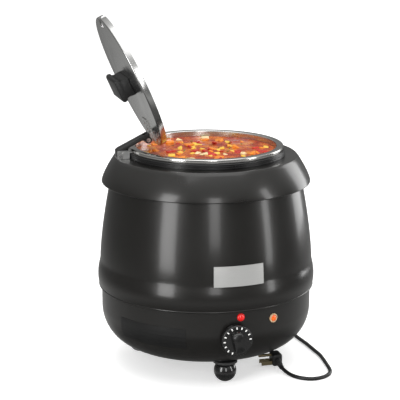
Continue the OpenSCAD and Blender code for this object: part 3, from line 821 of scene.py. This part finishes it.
def make_handle():
    """Moulded handle, waisted below a flared top with finger flutes along its edges."""
    half = [(17, 0), (15.5, 9), (17, 13), (21, 14), (22, 16), (22, 19.5), (19, 22)]
    outline = [*half, *((-x, z) for x, z in reversed(half))]
    handle = cut_out("lid_handle_moulded", outline, HANDLE_LENGTH)
    place(handle, move(0, 0, LID_CROWN))
    apply_modifier(handle, "BEVEL", width=2 * MM, segments=3, limit_method="ANGLE",
                   angle_limit=math.radians(25))
    for vertex in handle.data.vertices:
        x, y, _ = vertex.co / MM
        pull = ease(abs(y), 20, 33) * ease(abs(x), 8, 22)
        vertex.co.x -= math.copysign(4 * pull, x) * MM
    shade(handle, 40)
    place(handle, OPENED)
    return dress(handle, "handle_plastic", "lid", ["lid_handle"])


def make_arm():
    """Black hinge arm: the CAD solid with its corners eased."""
    node = frame["nodes"]["hinge_arm"]
    arm = node.copy()
    arm.data = node.data.copy()
    arm.name = "hinge_arm_moulded"
    arm.parent = None
    bpy.context.scene.collection.objects.link(arm)
    arm.matrix_world = node.matrix_world
    edit(arm)
    done_editing()
    apply_modifier(arm, "DECIMATE", decimate_type="DISSOLVE", angle_limit=math.radians(2))
    round_edges(arm, 0.5, 2, 35)
    shade(arm)
    return dress(arm, "arm_plastic", "pot", ["hinge_arm"])


make_lid()
make_handle()
make_arm()

# ---- knob and lamps ----
KNOB_R = 24
KNOB_BACK = base_radius(KNOB_Z) + 2.5
FACE = 10
GRIP_HALF = 7.4
ORANGE_ANGLE = 22.4


def make_knob():
    """Ribbed skirt with a flat face, and a raised finger grip across it."""
    skirt = turned("knob_skirt", [(0, 0), (KNOB_R - 0.8, 0), (KNOB_R, 0.8), (KNOB_R, FACE - 2.2),
                                  *arc(KNOB_R - 2, FACE - 2, 2, 0, 90, 5), (0, FACE)], 144)
    for vertex in skirt.data.vertices:
        x, y, z = vertex.co / MM
        if math.hypot(x, y) > KNOB_R - 0.2 and 0.5 < z < FACE - 1.5:
            rib = 0.35 * (0.5 + 0.5 * math.cos(36 * math.atan2(y, x)))
            vertex.co.xy *= 1 - rib / KNOB_R
    grip = turned("knob_grip", [(0, FACE - 0.5), (17, FACE - 0.5), (16.6, FACE + 7), (15, FACE + 9.6),
                                (13, FACE + 10.9), (0, FACE + 10.9)], 64)
    for vertex in grip.data.vertices:
        vertex.co.x = max(-GRIP_HALF * MM, min(GRIP_HALF * MM, vertex.co.x))
        vertex.co.y -= 1 * MM
    edit(grip)
    done_editing()
    place(grip, turn(12, "Z"))
    round_edges(grip, 0.8, 2, 40)
    knob = join(skirt, grip)
    knob.name = "thermostat_knob"
    shade(knob)
    place(knob, facing_out(0, KNOB_BACK, KNOB_Z))
    return dress(knob, "knob_plastic", "knob", ["knob"])


def make_lamp(name, finish, node, radius, z, angle, dome):
    """A domed lens on a stem, angle degrees round from the front."""
    lens = turned(name, [(0, -5), (radius - 2.2, -5), (radius - 2.2, 0), (radius - 0.3, 0), (radius, 0.3),
                         (radius, 0.8),
                         *((radius * 0.94 * math.cos(a), 0.8 + dome * math.sin(a))
                           for a in (math.pi / 2 * i / 8 for i in range(9)))], 64)
    shade(lens)
    place(lens, facing_out(angle, BASE_R + 0.05, z))
    return dress(lens, finish, "kettle", [node])


def make_lamp_ring():
    centre = (lowest("orange_lamp_ring") + highest("orange_lamp_ring")) / 2
    ring = turned("orange_lamp_bezel", [(4.9, 0), (7, 0), (7, 1.4), *arc(6.2, 1.4, 0.8, 0, 90, 4),
                                        *arc(5.5, 1.6, 0.6, 90, 180, 4), (4.9, 0)], 64)
    shade(ring)
    place(ring, facing_out(ORANGE_ANGLE, BASE_R + 0.05, centre.z))
    return dress(ring, "lamp_ring_white", "kettle", ["orange_lamp_ring"])


make_knob()
make_lamp("red_lamp_lens", "red_lens", "red_lamp", 6, 119.5, 2.9, 3.6)
make_lamp("orange_lamp_lens", "orange_lens", "orange_lamp", 4.8, 110, ORANGE_ANGLE, 3.4)
make_lamp_ring()

# ---- gland and plug ----
GLAND_Z = 75


def make_gland():
    """Flange and a ribbed taper that the cord leaves."""
    tip = highest("cord_gland").y
    wall = base_radius(GLAND_Z + 11) + 0.1
    length = tip - wall
    line = [(0, -12), (6.9, -12), (6.9, 0), (10.2, 0), (11, 0.8), (11, 2.2), *arc(10.2, 2.2, 0.8, 0, 90, 4)]
    for i in range(6):
        z = 3 + (length - 3) * i / 6
        r = 7 - 2.8 * i / 6
        line += [(r, z), (r, z + 1.9), (r - 0.8, z + 2.2), (r - 0.8, z + 2.9)]
    gland = turned("cord_gland_ribbed", [*line, (4.1, length), (0, length)], 64)
    shade(gland)
    place(gland, facing_out(180, wall, GLAND_Z))
    return dress(gland, "cord_rubber", "kettle", ["cord_gland"])


def make_plug():
    """Moulded plug body with grip ribs on both sides, and its tapered relief."""
    low, high = lowest("plug_body"), highest("plug_body")
    centre, size = (low + high) / 2, high - low
    deselect()
    bpy.ops.mesh.primitive_cube_add(size=MM)
    plug = bpy.context.object
    plug.name = "plug_moulded"
    place(plug, move(*centre) @ Matrix.Diagonal((*size, 1)))
    round_edges(plug, 3.5, 4)
    ribs = []
    for i in range(4):
        for top in (0, 1):
            bpy.ops.mesh.primitive_cube_add(size=MM)
            rib = bpy.context.object
            z = high.z - 0.25 if top else low.z + 0.25
            place(rib, move(centre.x, low.y + 5 + 4 * i, z) @ Matrix.Diagonal((9, 1.6, 0.5, 1)))
            round_edges(rib, 0.2, 1)
            ribs.append(rib)
    plug = join(plug, *ribs)
    shade(plug)
    dress(plug, "cord_rubber", "kettle", ["plug_body"])
    start, end = Vector(TAIL[-1]), Vector((centre.x, low.y + 1, centre.z))
    length = (end - start).length
    line = [(0, 0), (3.6, 0)]
    for i in range(5):
        z = length * (i + 0.2) / 5.4
        r = 3.8 + 1.4 * i / 5
        line += [(r, z), (r, z + 2), (r - 0.6, z + 2.3), (r - 0.6, z + 3.2)]
    relief = turned("plug_relief_ribbed", [*line, (5.2, length), (0, length)], 48)
    shade(relief)
    aim = (end - start).to_track_quat("Z", "Y").to_matrix().to_4x4()
    place(relief, Matrix.Translation(start * MM) @ aim)
    dress(relief, "cord_rubber", "kettle", ["plug_relief"])
    return plug, relief


make_gland()
plug, relief = make_plug()
tuple(cord_line()[0] * MM)


# ---- floor and light ----
def make_floor():
    deselect()
    bpy.ops.mesh.primitive_plane_add(size=30, location=(0, 0, -0.0002))
    floor = bpy.context.object
    floor.name = "floor"
    floor.visible_glossy = False
    f = Finish("floor_pale", Roughness=0.9, Specular_IOR_Level=0.0, Emission_Strength=0.5,
               Emission_Color=(1, 1, 1, 1))
    cloud = f.noise(f.here(), 3, 2)
    f.surface(Base_Color=f.blend(cloud, (0.9, 0.9, 0.9), (0.92, 0.92, 0.92)))
    floor.data.materials.append(f.material)


def make_light(name, place_, aim, width, height, power):
    light = bpy.data.lights.new(name, "AREA")
    light.shape = "RECTANGLE"
    light.size, light.size_y = width, height
    light.energy = power
    lamp = bpy.data.objects.new(name, light)
    bpy.context.scene.collection.objects.link(lamp)
    lamp.location = place_
    lamp.rotation_mode = "QUATERNION"
    lamp.rotation_quaternion = (Vector(place_) - Vector(aim)).to_track_quat("Z", "Y")


def make_world():
    """White behind the object; the light and the reflections come from a grey room, by height."""
    world = bpy.data.worlds.new("studio")
    bpy.context.scene.world = world
    world.use_nodes = True
    tree = world.node_tree
    seen = tree.nodes["Background"]
    seen.inputs["Color"].default_value = (1, 1, 1, 1)
    room = tree.nodes.new("ShaderNodeBackground")
    where = tree.nodes.new("ShaderNodeTexCoord")
    split = tree.nodes.new("ShaderNodeSeparateXYZ")
    walls = tree.nodes.new("ShaderNodeValToRGB")
    for stop, grey in ((0.2, 0.12), (0.32, 0.5), (0.37, 0.3), (0.43, 0.14), (0.6, 0.2), (0.8, 0.6), (1.0, 1.0)):
        element = walls.color_ramp.elements.new(stop)
        element.color = (grey, grey, 0.985 * grey, 1)
    walls.color_ramp.elements.remove(walls.color_ramp.elements[0])
    height = tree.nodes.new("ShaderNodeMapRange")
    height.inputs["From Min"].default_value = -1
    path = tree.nodes.new("ShaderNodeLightPath")
    both = tree.nodes.new("ShaderNodeMixShader")
    tree.links.new(where.outputs["Generated"], split.inputs[0])
    tree.links.new(split.outputs["Z"], height.inputs["Value"])
    tree.links.new(height.outputs[0], walls.inputs[0])
    tree.links.new(walls.outputs[0], room.inputs["Color"])
    tree.links.new(path.outputs["Is Camera Ray"], both.inputs[0])
    tree.links.new(room.outputs[0], both.inputs[1])
    tree.links.new(seen.outputs[0], both.inputs[2])
    tree.links.new(both.outputs[0], tree.nodes["World Output"].inputs["Surface"])


def make_lights():
    """Soft upright panels round the front, and a wide one above."""
    middle = (0, 0, 0.22)
    make_light("left_panel", (-1.9, -1.3, 0.7), middle, 0.7, 1.7, 26)
    make_light("front_panel", (-0.3, -2.9, 1.0), middle, 0.6, 1.6, 14)
    make_light("right_panel", (1.9, -1.4, 0.7), middle, 0.35, 1.7, 12)
    make_light("rear_panel", (2.2, 0.9, 0.7), middle, 1.0, 1.7, 18)
    make_light("top_soft", (0.0, -0.3, 2.4), middle, 2.4, 2.4, 26)


bpy.context.scene.view_settings.view_transform = "Standard"
make_floor()
make_world()
make_lights()
